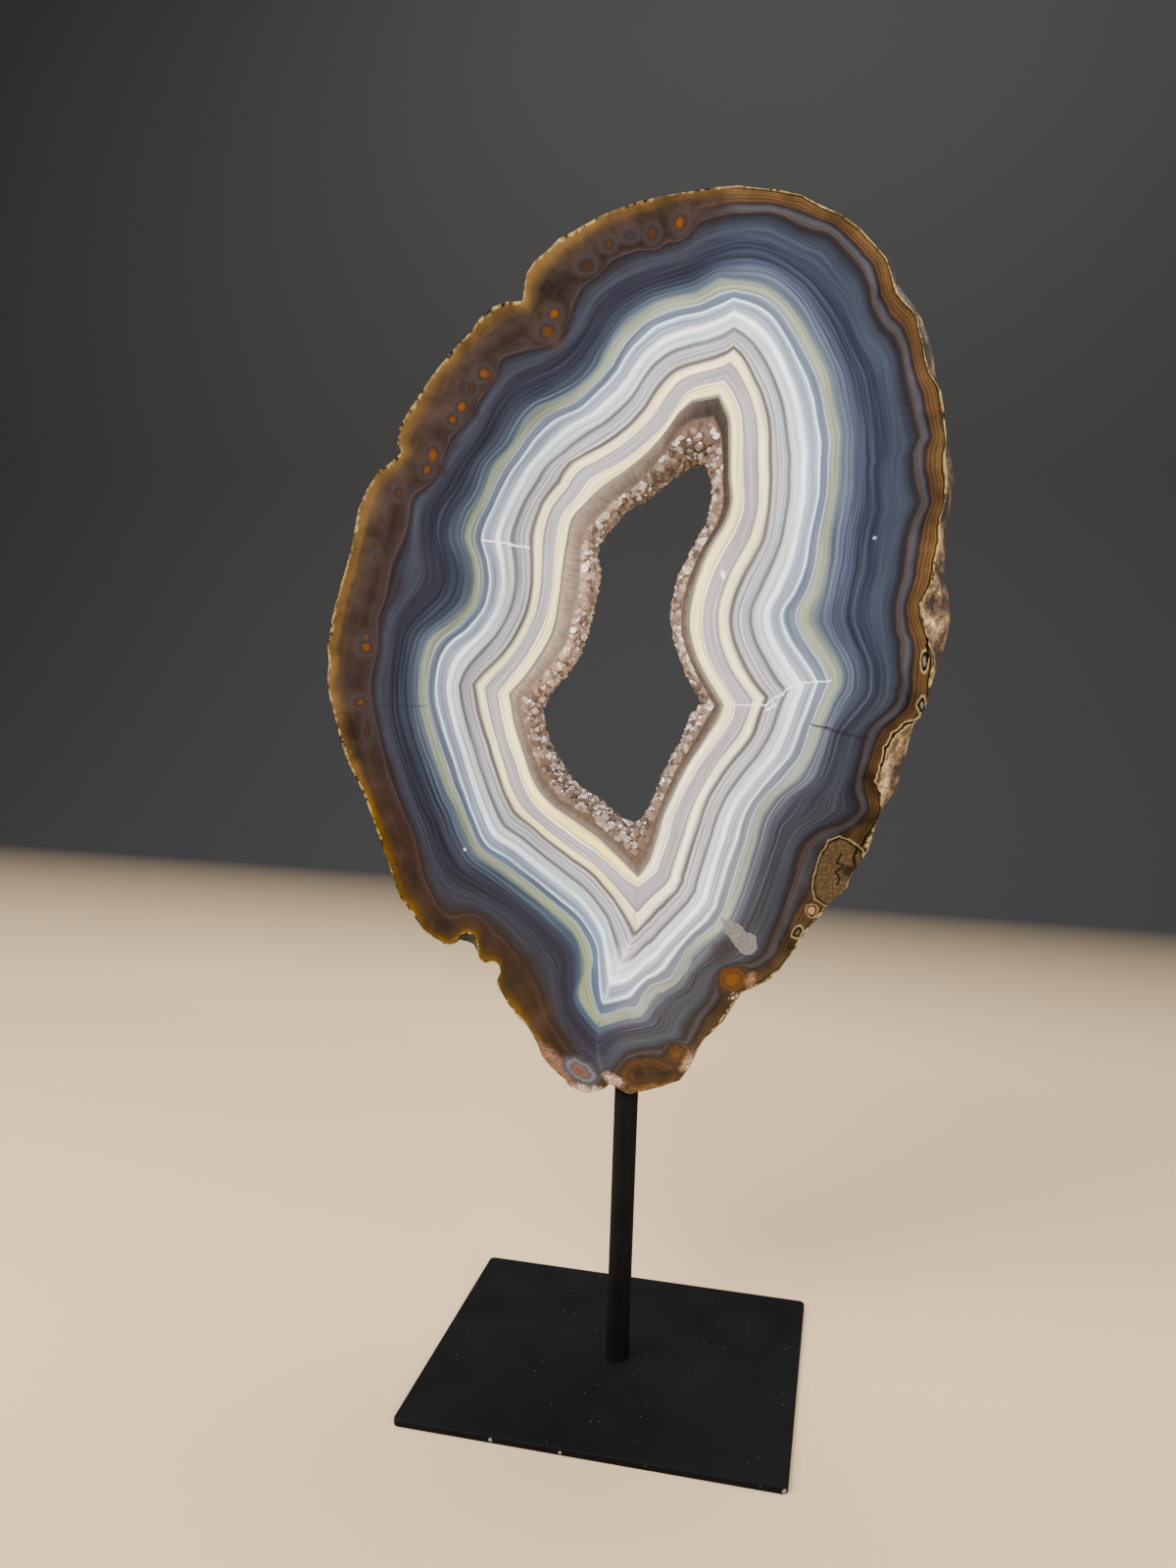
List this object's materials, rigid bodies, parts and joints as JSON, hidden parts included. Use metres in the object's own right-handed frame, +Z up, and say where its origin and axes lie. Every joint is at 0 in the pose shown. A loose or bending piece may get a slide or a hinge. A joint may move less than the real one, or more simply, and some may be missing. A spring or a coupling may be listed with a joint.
{
  "type": "agate slice on a stand",
  "caption": "Upright polished slice of banded agate with a rough rind and an open, crystal-lined hollow, fixed on a slim rod with a flat rectangular base plate.",
  "frame": {"origin": "on the rod's axis at the base plate's underside", "axes": "+Z up along the rod, -Y out of the slice's front cut face, +X to the right seen from the front"},
  "size_m": [0.2033, 0.107, 0.3871],
  "materials": {
    "stand_steel": "fine textured black powder coat, satin",
    "agate": "polished cut faces with blue-grey, white, sage and cream bands, rough brown rind",
    "quartz_crystal": "small smoky pink-brown quartz crystals, glassy"
  },
  "bodies": {
    "root": {"base_plate": "stand_steel", "rod": "stand_steel", "agate_slice": "agate", "crystal_crust": "quartz_crystal"}
  },
  "joints": []
}
